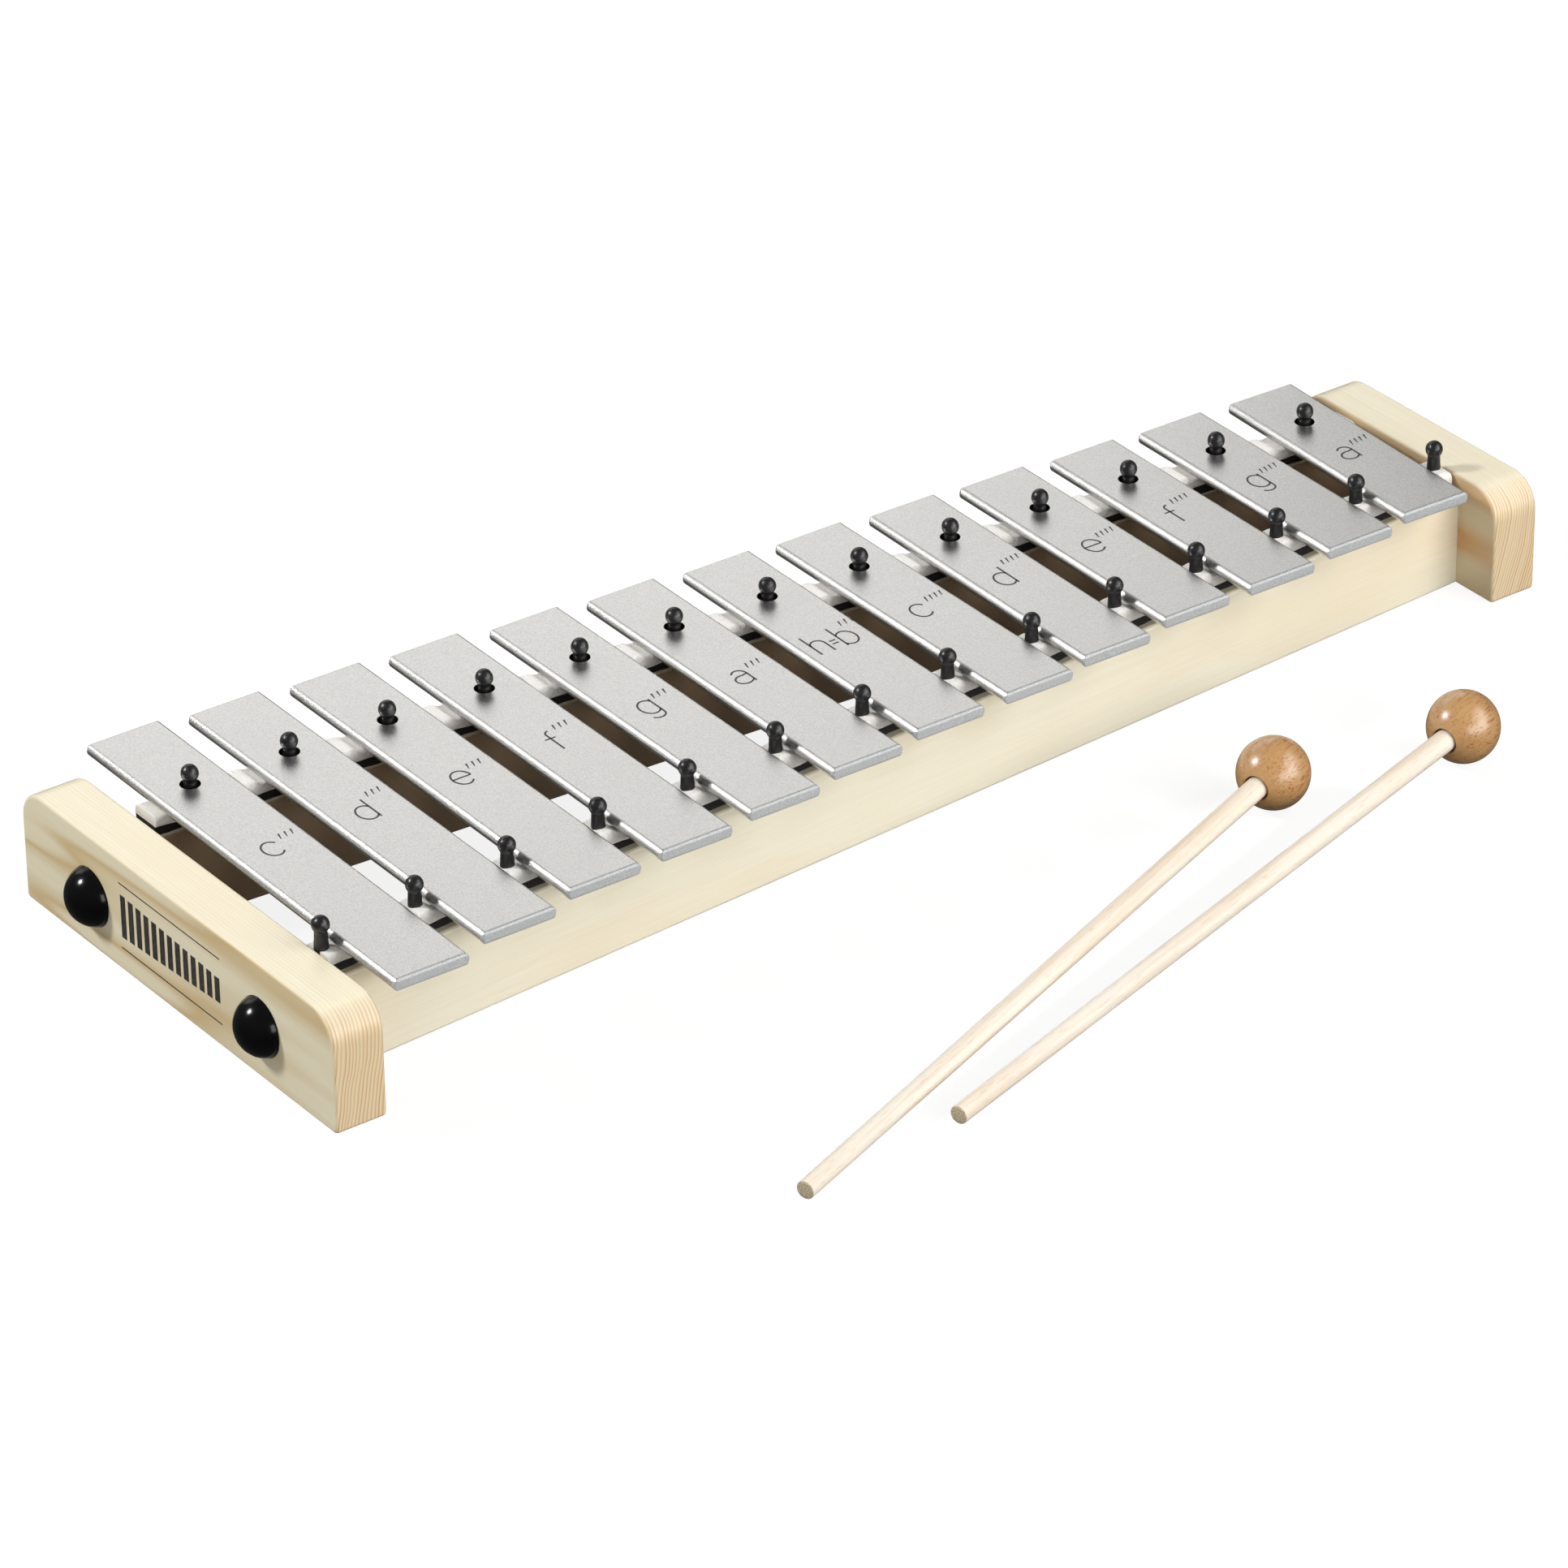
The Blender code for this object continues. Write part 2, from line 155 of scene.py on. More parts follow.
def inset_at(depth, radius, slant=0.0):
    """How far a rounded edge lies inside the side face, at a depth below the top face.

    slant mixes the quarter circle, 0, with a straight bevel, 1."""
    if depth >= radius:
        return 0.0
    quarter = radius - math.sqrt(radius ** 2 - (radius - depth) ** 2)
    return quarter + slant * (radius - depth - quarter)


def lathe(profile, sides, shape=None):
    """A closed turned solid about Z: profile runs from the axis at one end to the axis at the other."""
    bm = bmesh.new()
    rings = []
    for radius, height in profile:
        if radius < 1e-7:
            rings.append([bm.verts.new((0, 0, height))])
            continue
        ring = []
        for k in range(sides):
            a = 2 * math.pi * k / sides
            r = radius * (shape(a, height) if shape else 1.0)
            ring.append(bm.verts.new((r * math.cos(a), r * math.sin(a), height)))
        rings.append(ring)
    for a, b in zip(rings, rings[1:]):
        if len(a) == 1 or len(b) == 1:
            tip, ring = (a[0], b) if len(a) == 1 else (b[0], a)
            for k in range(sides):
                bm.faces.new((tip, ring[k], ring[(k + 1) % sides]))
        else:
            ring_faces(bm, a, b)
    return bm


def arc(centre_r, centre_z, radius, start, end, count):
    """(radius, height) points on an arc of a turned profile, angles in degrees."""
    angles = np.radians(np.linspace(start, end, count))
    return [(max(centre_r + radius * math.cos(a), 0.0), centre_z + radius * math.sin(a)) for a in angles]


def sweep(stations, section):
    """A bar of material along X: section(x) gives the outline's (y, z) points at each station."""
    bm = bmesh.new()
    rings = [[bm.verts.new((x, y, z)) for y, z in section(x)] for x in stations]
    for a, b in zip(rings, rings[1:]):
        ring_faces(bm, a, b)
    bm.faces.new(rings[0])
    bm.faces.new(list(reversed(rings[-1])))
    return bm


# ------------------------------------------------------------------------------------------------
# material tools
# ------------------------------------------------------------------------------------------------
def srgb(r, g, b):
    """A colour as seen on screen, 0 to 255, in linear light."""
    def linear(c):
        c /= 255
        return c / 12.92 if c <= 0.04045 else ((c + 0.055) / 1.055) ** 2.4
    return (linear(r), linear(g), linear(b), 1.0)


class Finish:
    """A material and short names for wiring its nodes."""

    def __init__(self, name, roughness, metallic=0.0, coat=0.0, coat_roughness=0.1, sheen=0.0, lie=None):
        self.material = bpy.data.materials.new(name)
        self.material.use_nodes = True
        self.tree = self.material.node_tree
        self.shader = self.tree.nodes["Principled BSDF"]
        self.shader.inputs["Roughness"].default_value = roughness
        self.shader.inputs["Metallic"].default_value = metallic
        self.shader.inputs["Coat Weight"].default_value = coat
        self.shader.inputs["Coat Roughness"].default_value = coat_roughness
        self.shader.inputs["Sheen Weight"].default_value = sheen
        self.place = self.node("ShaderNodeTexCoord").outputs["Object"]
        if lie is not None:
            back = lie.inverted()
            self.place = self.scaled((1, 1, 1), offset=back.translation, turn=back.to_euler())

    def node(self, kind, **settings):
        made = self.tree.nodes.new(kind)
        for key, value in settings.items():
            setattr(made, key, value)
        return made

    def wire(self, value, socket):
        if isinstance(value, bpy.types.NodeSocket):
            self.tree.links.new(value, socket)
        else:
            socket.default_value = value

    def scaled(self, scale, place=None, offset=(0, 0, 0), turn=(0, 0, 0)):
        made = self.node("ShaderNodeMapping")
        self.wire(self.place if place is None else place, made.inputs["Vector"])
        made.inputs["Scale"].default_value = scale
        made.inputs["Location"].default_value = offset
        made.inputs["Rotation"].default_value = turn
        return made.outputs["Vector"]

    def noise(self, place, scale, detail=2.0, roughness=0.5):
        made = self.node("ShaderNodeTexNoise")
        self.wire(place, made.inputs["Vector"])
        made.inputs["Scale"].default_value = scale
        made.inputs["Detail"].default_value = detail
        made.inputs["Roughness"].default_value = roughness
        return made.outputs["Fac"]

    def cells(self, place, scale):
        made = self.node("ShaderNodeTexVoronoi")
        self.wire(place, made.inputs["Vector"])
        made.inputs["Scale"].default_value = scale
        return made.outputs["Color"]

    def maths(self, operation, a, b=0.0, c=0.0):
        made = self.node("ShaderNodeMath", operation=operation)
        for value, socket in zip((a, b, c), made.inputs):
            self.wire(value, socket)
        return made.outputs["Value"]

    def parts(self, place):
        made = self.node("ShaderNodeSeparateXYZ")
        self.wire(place, made.inputs["Vector"])
        return made.outputs

    def ramp(self, factor, *stops):
        """stops are (position, colour) or (position, grey)."""
        made = self.node("ShaderNodeValToRGB")
        self.wire(factor, made.inputs["Fac"])
        elements = made.color_ramp.elements
        while len(elements) < len(stops):
            elements.new(0.5)
        for element, (position, colour) in zip(elements, stops):
            element.position = position
            element.color = colour if isinstance(colour, tuple) else (colour, colour, colour, 1.0)
        return made.outputs["Color"]

    def blend(self, factor, a, b):
        made = self.node("ShaderNodeMix", data_type="RGBA")
        self.wire(factor, made.inputs["Factor"])
        self.wire(a, made.inputs["A"])
        self.wire(b, made.inputs["B"])
        return made.outputs["Result"]

    def colour(self, value):
        self.wire(value, self.shader.inputs["Base Color"])

    def roughness(self, value):
        self.wire(value, self.shader.inputs["Roughness"])

    def bump(self, height, distance, strength=1.0):
        """A bump, in metres of height, on top of any bump made before."""
        made = self.node("ShaderNodeBump")
        self.wire(height, made.inputs["Height"])
        made.inputs["Distance"].default_value = distance
        made.inputs["Strength"].default_value = strength
        normal = self.shader.inputs["Normal"]
        if normal.is_linked:
            self.tree.links.new(normal.links[0].from_socket, made.inputs["Normal"])
        self.tree.links.new(made.outputs["Normal"], normal)


# ------------------------------------------------------------------------------------------------
# the materials
# ------------------------------------------------------------------------------------------------
def silver_paint(name, dark, light, roughness, metallic=1.0):
    """Satin metallic paint with a fine sparkle and a slight orange peel."""
    f = Finish(name, roughness, metallic=metallic)
    fleck = f.noise(f.place, 3300, 1.5)
    glint = f.parts(f.cells(f.place, 4200))["X"]
    cloud = f.noise(f.place, 55, 2.0)
    tone = f.ramp(fleck, (0.30, srgb(*dark)), (0.70, srgb(*light)))
    tone = f.blend(f.ramp(glint, (0.0, 0.10), (1.0, 0.0)), tone, srgb(120, 120, 120))
    tone = f.blend(f.ramp(cloud, (0.3, 0.0), (0.7, 0.10)), tone, srgb(*dark))
    f.colour(tone)
    f.roughness(f.maths("MULTIPLY_ADD", fleck, 0.16, roughness - 0.08))
    f.bump(fleck, 0.00003, 0.7)
    return f.material


def ring_distance(f, along, pith, waviness):
    """Distance from the tree's pith, waved a little, with the grain running along one axis."""
    stretch = {"X": (0.12, 1, 1), "Y": (1, 0.12, 1), "Z": (1, 1, 0.12)}[along]
    p = f.parts(f.place)
    across = {"X": ("Y", "Z"), "Y": ("X", "Z"), "Z": ("X", "Y")}[along]
    a = f.maths("SUBTRACT", p[across[0]], pith[0])
    b = f.maths("SUBTRACT", p[across[1]], pith[1])
    distance = f.maths("SQRT", f.maths("ADD", f.maths("MULTIPLY", a, a), f.maths("MULTIPLY", b, b)))
    wave = f.noise(f.scaled(stretch), 55, 2.0)
    return f.maths("MULTIPLY_ADD", wave, waviness, distance)


def fibres(f, along, fineness=2600):
    stretch = {"X": (0.02, 1, 1), "Y": (1, 0.02, 1), "Z": (1, 1, 0.02)}[along]
    return f.noise(f.scaled(stretch), fineness, 3.0, 0.6)


def block_pine(name, inward, pith, ring_width, end_strength, side_seed, side_strength, side_tone):
    """Lacquered pine with the grain along Y.

    The end grain shows the tree's rings, the top fine lines and the sides broad flames."""
    f = Finish(name, 0.42, coat=0.25, coat_roughness=0.25)
    facing = f.parts(f.node("ShaderNodeTexCoord").outputs["Normal"])
    on_end = f.ramp(f.maths("ABSOLUTE", facing["Y"]), (0.35, 0.0), (0.85, 1.0))
    on_side = f.ramp(f.maths("ABSOLUTE", facing["X"]), (0.45, 0.0), (0.90, 1.0))
    distance = ring_distance(f, "Y", pith, 0.0030)
    uneven = f.noise(f.maths("MULTIPLY", distance, 160.0), 1.0, 1.0)
    count = f.maths("MULTIPLY_ADD", uneven, 1.6, f.maths("DIVIDE", distance, ring_width))
    phase = f.maths("FRACT", count)
    line = f.ramp(phase, (0.0, 0.0), (0.30, 0.08), (0.62, 0.5), (0.80, 1.0), (0.93, 0.9), (1.0, 0.0))
    depth = f.noise(f.maths("FLOOR", count), 7.3, 0.0)
    line = f.maths("MULTIPLY", line, f.maths("MULTIPLY_ADD", depth, 1.3, 0.1))
    strength = f.maths("MULTIPLY_ADD", on_end, end_strength - 0.16, 0.16)
    strength = f.maths("MULTIPLY", strength, f.maths("SUBTRACT", 1.0, on_side))
    tone = f.blend(f.maths("MULTIPLY", on_end, 0.9), srgb(241, 234, 208), srgb(224, 206, 170))
    # painted shade: the block's face turned towards the bars is darkened to brown
    inner = f.ramp(f.maths("MULTIPLY", facing["X"], inward), (0.5, 0.0), (0.9, 0.65))
    tone = f.blend(inner, tone, srgb(180, 142, 84))
    tone = f.blend(f.maths("MULTIPLY", line, strength), tone, srgb(194, 147, 94))
    streak = f.noise(f.scaled((1, 0.09, 1), offset=(0, 0, side_seed)), 85, 1.0, 0.4)
    flame = f.ramp(streak, (0.40, 0.0), (0.52, 0.5), (0.58, 1.0), (0.63, 0.15), (0.70, 0.0))
    # painted light: the side faces get a warmer tone of their own, standing in for how they are lit
    tone = f.blend(f.maths("MULTIPLY", on_side, 0.45), tone, srgb(240, 231, 198))
    flame = f.maths("MULTIPLY", flame, f.maths("MULTIPLY", on_side, side_strength))
    tone = f.blend(flame, tone, srgb(*side_tone))
    fibre = fibres(f, "Y")
    tone = f.blend(f.ramp(fibre, (0.42, 0.12), (0.62, 0.0)), tone, srgb(216, 180, 130))
    warm = f.noise(f.place, 28, 2.0)
    tone = f.blend(f.ramp(warm, (0.50, 0.0), (0.74, 0.10)), tone, srgb(236, 208, 160))
    f.colour(tone)
    f.roughness(f.maths("MULTIPLY_ADD", fibre, 0.18, 0.33))
    f.bump(fibre, 0.00004, 0.35)
    return f.material


def rail_pine(name, line, inward):
    """Plain lacquered pine for a rail, with faint flames and warm patches.

    The inner face is darkened to a dull brown, painted shade for the space under the bars."""
    f = Finish(name, 0.4, coat=0.2, coat_roughness=0.25)
    slope = (line(0.1) - line(0.0)) / 0.1
    turned = f.scaled((1, 1, 1), turn=(0, 0, -math.atan(slope)))
    stretched = f.scaled((0.10, 1, 1), turned)
    flame = f.noise(stretched, 70, 1.5)
    phase = f.maths("FRACT", f.maths("MULTIPLY", flame, 6.0))
    band = f.ramp(phase, (0.0, 0.0), (0.6, 0.35), (0.88, 1.0), (1.0, 0.0))
    tone = f.blend(f.maths("MULTIPLY", band, 0.06), srgb(244, 237, 214), srgb(222, 196, 148))
    facing = f.parts(f.node("ShaderNodeTexCoord").outputs["Normal"])
    # painted shade: the face turned in under the bars is darkened to brown
    inner = f.ramp(f.maths("MULTIPLY", facing["Y"], inward), (0.5, 0.0), (0.9, 0.8))
    fibre = f.noise(f.scaled((0.02, 1, 1), turned), 2400, 3.0, 0.6)
    tone = f.blend(f.ramp(fibre, (0.42, 0.12), (0.62, 0.0)), tone, srgb(222, 200, 158))
    patch = f.noise(f.scaled((0.5, 1, 1), turned), 24, 2.0)
    tone = f.blend(f.ramp(patch, (0.46, 0.0), (0.68, 0.24)), tone, srgb(240, 210, 164))
    f.colour(f.blend(inner, tone, srgb(146, 110, 70)))
    f.roughness(f.maths("MULTIPLY_ADD", fibre, 0.18, f.maths("MULTIPLY_ADD", inner, 0.35, 0.32)))
    f.bump(fibre, 0.00003, 0.3)
    return f.material


def beech_ball(name, lie, seed, radius):
    """Glossy lacquered beech: orange-brown, with short dark flecks along the grain."""
    f = Finish(name, 0.34, coat=0.9, coat_roughness=0.27, lie=lie)
    fleck = f.noise(f.scaled((1, 1, 0.09), offset=(seed, 0, 0)), 2500, 1.0, 0.5)
    fine = f.noise(f.scaled((1, 1, 0.05), offset=(seed, 0, 0)), 1300, 3.0, 0.6)
    distance = ring_distance(f, "Z", (0.006, 0.011), 0.0016)
    phase = f.maths("FRACT", f.maths("DIVIDE", distance, 0.0016))
    band = f.ramp(phase, (0.0, 0.0), (0.7, 0.3), (0.88, 1.0), (1.0, 0.1))
    tone = f.blend(f.maths("MULTIPLY", band, 0.5), srgb(190, 151, 100), srgb(171, 124, 73))
    tone = f.blend(f.ramp(fine, (0.38, 0.35), (0.62, 0.0)), tone, srgb(184, 122, 68))
    cloud = f.noise(f.place, 150, 2.0)
    p = f.parts(f.place)
    squares = [f.maths("MULTIPLY", p[axis], p[axis]) for axis in "XY"]
    out = f.maths("SQRT", f.maths("ADD", *squares))
    sides = f.ramp(f.maths("DIVIDE", out, radius), (0.45, 0.12), (0.80, 1.0))
    often = f.maths("MULTIPLY", f.ramp(cloud, (0.36, 0.25), (0.56, 1.0)), sides)
    pores = f.maths("MULTIPLY", f.ramp(fleck, (0.565, 0.0), (0.62, 0.9)), often)
    tone = f.blend(pores, tone, srgb(150, 88, 42))
    f.colour(tone)
    f.roughness(f.maths("MULTIPLY_ADD", fine, 0.15, 0.28))
    f.bump(fleck, 0.00002, 0.2)
    return f.material


def beech_rod(name, lie, seed, length):
    """Pale raw beech with pinkish streaks, and a greyer end grain on the tail's face."""
    f = Finish(name, 0.55, lie=lie)
    streak = f.noise(f.scaled((1, 1, 0.03), offset=(seed, 0, 0)), 520, 3.0, 0.6)
    fleck = f.noise(f.scaled((1, 1, 0.10), offset=(seed, 0, 0)), 2200, 1.0)
    slow = f.noise(f.scaled((1, 1, 0.25), offset=(seed, 0, 0)), 90, 2.0)
    tone = f.ramp(streak, (0.30, srgb(222, 204, 182)), (0.55, srgb(238, 229, 214)))
    tone = f.blend(f.ramp(slow, (0.45, 0.0), (0.70, 0.3)), tone, srgb(242, 218, 192))
    tone = f.blend(f.ramp(fleck, (0.62, 0.0), (0.68, 0.28)), tone, srgb(212, 172, 138))
    grit = f.noise(f.place, 2600, 2.0)
    end_tone = f.ramp(grit, (0.35, srgb(160, 144, 116)), (0.65, srgb(212, 198, 170)))
    depth = f.parts(f.place)["Z"]
    on_end = f.ramp(f.maths("MULTIPLY", f.maths("ADD", depth, length), 2000.0), (0.35, 1.0), (0.65, 0.0))
    f.colour(f.blend(on_end, tone, end_tone))
    f.roughness(f.maths("MULTIPLY_ADD", streak, 0.2, 0.45))
    f.bump(streak, 0.00005, 0.35)
    return f.material


def black_rubber():
    """Moulded black rubber, satin, a little dusty and uneven."""
    f = Finish("black_rubber", 0.45, coat=0.22, coat_roughness=0.26)
    grit = f.noise(f.place, 3000, 2.0)
    cloud = f.noise(f.place, 500, 2.0)
    f.colour(f.ramp(cloud, (0.3, srgb(8, 8, 9)), (0.7, srgb(24, 23, 25))))
    f.roughness(f.maths("MULTIPLY_ADD", grit, 0.25, 0.26))
    f.bump(grit, 0.00004, 0.5)
    f.bump(cloud, 0.00010, 0.4)
    return f.material


def wool_felt():
    """Pressed cream wool felt, fuzzy and matt."""
    f = Finish("wool_felt", 0.95, sheen=0.35)
    fuzz = f.noise(f.place, 2200, 4.0, 0.7)
    cloud = f.noise(f.place, 120, 3.0)
    tone = f.ramp(fuzz, (0.32, srgb(238, 235, 228)), (0.66, srgb(254, 252, 248)))
    f.colour(f.blend(f.ramp(cloud, (0.4, 0.0), (0.7, 0.25)), tone, srgb(240, 233, 224)))
    f.bump(fuzz, 0.00025, 0.8)
    return f.material


def black_backing():
    f = Finish("black_backing", 0.8)
    grit = f.noise(f.place, 2000, 3.0)
    f.colour(f.ramp(grit, (0.3, srgb(14, 14, 14)), (0.7, srgb(34, 33, 32))))
    f.roughness(f.maths("MULTIPLY_ADD", grit, 0.2, 0.7))
    f.bump(grit, 0.0001, 0.5)
    return f.material


def gloss_black():
    """Polished black plastic with faint dust."""
    f = Finish("gloss_black", 0.16)
    f.shader.inputs["Specular IOR Level"].default_value = 0.3
    dust = f.noise(f.place, 3600, 2.0)
    slow = f.noise(f.place, 260, 2.0)
    f.colour(f.ramp(dust, (0.70, srgb(6, 6, 7)), (0.80, srgb(34, 34, 36))))
    f.roughness(f.maths("MULTIPLY_ADD", slow, 0.08, 0.13))
    return f.material


def plain_steel():
    f = Finish("plain_steel", 0.35, metallic=1.0)
    grit = f.noise(f.place, 1500, 3.0)
    f.colour(f.ramp(grit, (0.3, srgb(150, 150, 148)), (0.7, srgb(205, 205, 202))))
    f.roughness(f.maths("MULTIPLY_ADD", grit, 0.2, 0.25))
    return f.material


def ink(name, dark, light, fineness):
    """A thin film of printing ink that lets some of what is under it through."""
    f = Finish(name, 0.5)
    wear = f.noise(f.place, fineness, 2.0)
    f.colour(f.ramp(wear, (0.35, srgb(*dark)), (0.75, srgb(*light))))
    f.roughness(f.maths("MULTIPLY_ADD", wear, 0.2, 0.4))
    return f.material


# ------------------------------------------------------------------------------------------------
# bars and the note names printed on them
# ------------------------------------------------------------------------------------------------
BAR_SIDE_RADIUS = 1.35 * MM         # the long edges are rolled, the sheared ends nearly square
BAR_SIDE_SLANT = 0.45
BAR_END_RADIUS = 0.65 * MM
BAR_CORNER = 1.0 * MM
HOLE_RADIUS = 2.25 * MM
HOLE_EDGE = 0.25 * MM
CORNER_POINTS = 8
HOLE_SIDES = 48


def bar_outline(width, length, depth):
    side, end = inset_at(depth, BAR_SIDE_RADIUS, BAR_SIDE_SLANT), inset_at(depth, BAR_END_RADIUS)
    corner = max(BAR_CORNER - side, 0.25 * MM)
    return rounded_rectangle(width / 2 - side, length / 2 - end, corner, CORNER_POINTS)


def bar_mesh(width, length, thickness, hole):
    """A flat bar with its underside at z = 0, pierced by one round hole."""
    steps = [depth for depth, _ in roll(BAR_SIDE_RADIUS, 9)]
    levels = [(thickness - d, d) for d in steps] + [(d, d) for d in reversed(steps)]
    bm = bmesh.new()
    outer = []
    for z, depth in levels:
        outer.append([bm.verts.new((x, y, z)) for x, y in bar_outline(width, length, depth)])
    for a, b in zip(outer, outer[1:]):
        ring_faces(bm, a, b)
    lips = [depth for depth, _ in roll(HOLE_EDGE, 4)]
    bore = []
    for z, depth in [(thickness - d, d) for d in lips] + [(d, d) for d in reversed(lips)]:
        radius = HOLE_RADIUS + inset_at(depth, HOLE_EDGE)
        ring = []
        for k in range(HOLE_SIDES):
            a = 2 * math.pi * k / HOLE_SIDES
            ring.append(bm.verts.new((hole.x + radius * math.cos(a), hole.y + radius * math.sin(a), z)))
        bore.append(ring)
    for a, b in zip(bore, bore[1:]):
        ring_faces(bm, a, b)
    for ring, hole_ring in ((outer[0], bore[0]), (outer[-1], bore[-1])):
        edges = [bm.edges.get((r[i], r[i - 1])) for r in (ring, hole_ring) for i in range(len(r))]
        bmesh.ops.triangle_fill(bm, edges=edges, use_beauty=True)
    bm.normal_update()
    for face in bm.faces:
        middle = face.calc_center_median()
        # the hole's wall takes slot 2, painted dark as shade
        if (middle.xy - hole.xy).length < HOLE_RADIUS + 0.1 * MM:
            face.material_index = 2
        # the end faces take slot 1, the darker paint that stands for shade
        elif abs(middle.y) > length / 2 - BAR_END_RADIUS and abs(face.normal.y) > 0.3:
            face.material_index = 1
    return bm


# Note names in thin round strokes. Sizes here are in millimetres, from the letter's lower left.
STROKE = 0.47
X_HEIGHT = 6.1
ASCENDER = 8.6
BOWL = (2.35, X_HEIGHT / 2, 2.35, X_HEIGHT / 2)     # middle and radii of a round letter
STEM = 4.15                                         # where a bowl meets its stem
MEET = math.degrees(math.acos((STEM - BOWL[0]) / BOWL[2]))


def oval(x, y, radius_x, radius_y, start, end, count=28):
    angles = np.radians(np.linspace(start, end, count))
    return [(x + radius_x * math.cos(a), y + radius_y * math.sin(a)) for a in angles]


def moved(strokes, dx):
    return [[(x + dx, y) for x, y in path] for path in strokes]


def letter_c():
    return [oval(*BOWL, 38, 322)]


def letter_d():
    return [oval(*BOWL, MEET, 360 - MEET), [(STEM, 0), (STEM, ASCENDER)]]


def letter_e():
    return [[(0.05, 3.15), (4.6, 3.15)] + oval(*BOWL, 3, 320)]


def letter_f():
    hook = oval(2.85, ASCENDER - 1.3, 1.4, 1.35, 180, 95, 10)
    return [[(1.45, 0)] + hook, [(0, 5.5), (2.75, 5.5)]]


def letter_g():
    tail = oval(2.25, -0.45, STEM - 2.25, 1.75, 0, -152, 16)
    return [oval(*BOWL, MEET, 360 - MEET), [(STEM, X_HEIGHT)] + tail]


def letter_a():
    top = oval(2.35, 4.15, STEM - 2.35, 1.95, 150, 0, 16)
    bowl = [(STEM, 3.95), (3.1, 3.72)] + oval(2.1, 1.85, 2.1, 1.85, 72, 298, 20) + [(STEM, 0.95)]
    return [top + [(STEM, 0)], bowl]


def letter_h():
    arch = oval(1.88, 4.1, 1.84, 1.95, 168, 0, 14)
    return [[(0.05, 0), (0.05, ASCENDER + 0.5)], [(0.05, 4.0)] + arch + [(3.72, 0)]]


def letter_b():
    bowl = oval(STEM - BOWL[0], BOWL[1], BOWL[2], BOWL[3], 180 - MEET, -180 + MEET)
    return [[(0, 0), (0, ASCENDER + 0.4)], bowl]


def letter_h_or_b():
    """The German and the English name of the same note."""
    equals = [[(6.2, 3.9), (7.9, 3.9)], [(6.2, 2.5), (7.9, 2.5)]]
    return moved(letter_h(), 1.5) + equals + moved(letter_b(), 8.85)


LETTERS = {
    "c": (letter_c, 6.4, 5.5), "d": (letter_d, 6.6, 8.6), "e": (letter_e, 6.1, 5.4),
    "f": (letter_f, 4.8, 8.1), "g": (letter_g, 5.9, 5.5), "a": (letter_a, 6.1, 5.6),
    "b": (letter_h_or_b, 13.0, 8.1),
}   # strokes, where the first mark of the octave stands, and how high its foot is
PRIME_HEIGHT = 2.15
PRIME_LEAN = 0.55
PRIME_PITCH = {"3": 1.65, "4": 1.48}
PRIME_CLIMB = 0.17

# where each name was printed, in mm from the bar's middle to the letter's lower left
NAME_PLACES = {
    "c3": (-3.1, -3.8), "d3": (-3.5, -4.2), "e3": (-3.6, -4.9), "f3": (-2.5, -4.4), "g3": (-3.2, -3.1),
    "a3": (-3.7, -5.1), "b3": (-7.6, -4.9), "c4": (-3.8, -4.6), "d4": (-4.4, -4.6), "e4": (-3.8, -5.0),
    "f4": (-3.8, -4.4), "g4": (-4.0, -3.0), "a4": (-3.8, -5.3),
}
INK_ABOVE = 0.02                    # mm above the paint
INK_BELOW = 0.05


def ribbon(bm, path, start_width, end_width):
    """A thin flat stroke along a path in mm, as a closed strip just above z = 0."""
    points = [Vector(p) for p in path]
    rings = []
    for i, point in enumerate(points):
        ahead = points[min(i + 1, len(points) - 1)] - points[max(i - 1, 0)]
        side = Vector((-ahead.y, ahead.x)).normalized()
        width = start_width + (end_width - start_width) * i / (len(points) - 1)
        left, right = point + side * width / 2, point - side * width / 2
        corners = ((left, INK_ABOVE), (right, INK_ABOVE), (right, -INK_BELOW), (left, -INK_BELOW))
        rings.append([bm.verts.new((p.x * MM, p.y * MM, z * MM)) for p, z in corners])
    for a, b in zip(rings, rings[1:]):
        ring_faces(bm, a, b)
    bm.faces.new(rings[0])
    bm.faces.new(list(reversed(rings[-1])))


def name_mesh(note):
    """The printed name of a note, its lower left at the origin, reading along +X."""
    strokes, first_mark, foot = LETTERS[note[0]]
    bm = bmesh.new()
    for path in strokes():
        ribbon(bm, path, STROKE, STROKE)
    for k in range(int(note[1])):
        x, y = first_mark + k * PRIME_PITCH[note[1]], foot + k * PRIME_CLIMB
        ribbon(bm, [(x - PRIME_LEAN / 2, y), (x + PRIME_LEAN / 2, y + PRIME_HEIGHT)], 0.22, 0.48)
    return bm


def make_bars(paint, shaded_end_paint, bore, name_ink):
    for index, note in enumerate(NOTES):
        node = "bar_" + note
        middle, width, length, swing = lie_of(node)
        thickness = size(node).z
        to_world = Matrix.Translation(middle) @ Matrix.Rotation(-swing, 4, "Z")
        pin = centre(f"rear_pin_{index + 1:02d}")
        hole = to_world.inverted() @ Vector((pin.x, pin.y, middle.z))
        bm = bar_mesh(width, length, thickness, hole)
        bmesh.ops.transform(bm, matrix=to_world, verts=bm.verts)
        bar = piece(bm, "steel_bar_" + note, paint, node, "bar_silver", node)
        bar.data.materials.append(shaded_end_paint)
        bar.data.materials.append(bore)
        left, base = NAME_PLACES[note]
        bm = name_mesh(note)
        printed = to_world @ Matrix.Translation((left * MM, base * MM, thickness))
        bmesh.ops.transform(bm, matrix=printed, verts=bm.verts)
        piece(bm, "name_of_" + note, name_ink, node, "bar_silver", smooth=False)


# ------------------------------------------------------------------------------------------------
# rails, strips and end blocks
# ------------------------------------------------------------------------------------------------
RAIL_EDGE = 0.9 * MM
BLOCK_CORNER = 8.0 * MM
BLOCK_FOOT_CORNER = 1.0 * MM
BLOCK_EDGE = 0.85 * MM


